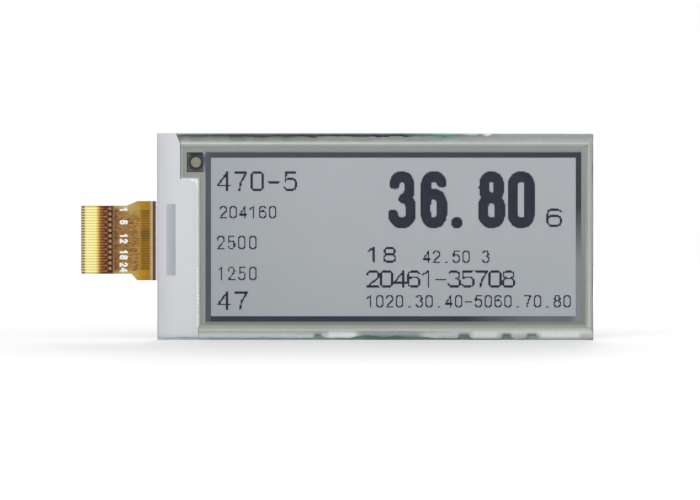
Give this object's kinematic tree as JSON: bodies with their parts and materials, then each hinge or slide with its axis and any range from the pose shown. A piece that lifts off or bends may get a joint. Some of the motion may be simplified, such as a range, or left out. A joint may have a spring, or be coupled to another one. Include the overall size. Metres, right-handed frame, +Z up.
{
  "type": "electronic shelf label display",
  "caption": "Bare electronic paper display panel of a shelf label: thin glass with a framed picture area, a taped ledge at one end and a flexible contact tail that folds behind it.",
  "frame": {"origin": "centre of the glass plate's back face", "axes": "+Z up along the display's short side, +Y out of the glass's back, so the display faces -Y, and +X along the long side, away from the tail"},
  "size_m": [0.0939, 0.001, 0.038],
  "materials": {
    "glass": "polished faces, cut edges",
    "pixel_circuits": "thin film",
    "border_electrode": "thin film",
    "glass_tracks": "thin film",
    "common_pad": "thin film",
    "silver_paste": "matt",
    "clear_adhesive": "clear",
    "ink": "fine speckle",
    "electrode_film": "clear",
    "protective_sheet": "satin, clear",
    "edge_seal": "glossy",
    "silicon": "polished",
    "bonding_film": "glossy",
    "ledge_resin": "clear",
    "white_tape": "satin",
    "amber_film": "glossy, see-through amber",
    "copper": "satin",
    "gold_contacts": "bright gold plate",
    "cover_film": "glossy, amber brown",
    "edge_glue": "glossy",
    "stiffener": "satin amber"
  },
  "bodies": {
    "panel": {"backplane_glass": "glass", "pixel_array": "pixel_circuits", "border_electrode": "border_electrode", "glass_tracks": "glass_tracks", "common_pad": "common_pad", "silver_dot": "silver_paste", "lamination_adhesive": "clear_adhesive", "ink_layer": "ink", "electrode_film": "electrode_film", "optical_adhesive": "clear_adhesive", "protective_sheet": "protective_sheet", "edge_seal": "edge_seal", "driver_chip": "silicon", "chip_bond_film": "bonding_film", "tail_bond_film": "bonding_film", "ledge_resin": "ledge_resin", "ledge_tape": "white_tape", "bonded_film": "amber_film", "bonded_leads": "copper", "edge_glue": "edge_glue"},
    "tail": {"bend_film": "amber_film", "bend_leads": "copper", "tail_film": "amber_film", "tail_tracks": "copper", "plated_holes": "copper", "contact_fingers": "gold_contacts", "front_coverlay": "cover_film", "back_coverlay": "cover_film", "stiffener_adhesive": "clear_adhesive", "contact_stiffener": "stiffener"}
  },
  "joints": [
    {"name": "tail_fold", "type": "hinge", "parent": "panel", "child": "tail", "pos_m": [-0.04173, 0, -0.0006], "axis": [0, 0, -1], "range_deg": [0, 180], "stiffness_Nm_per_rad": 0.0005, "deforming": ["bend_film", "bend_leads"]}
  ]
}
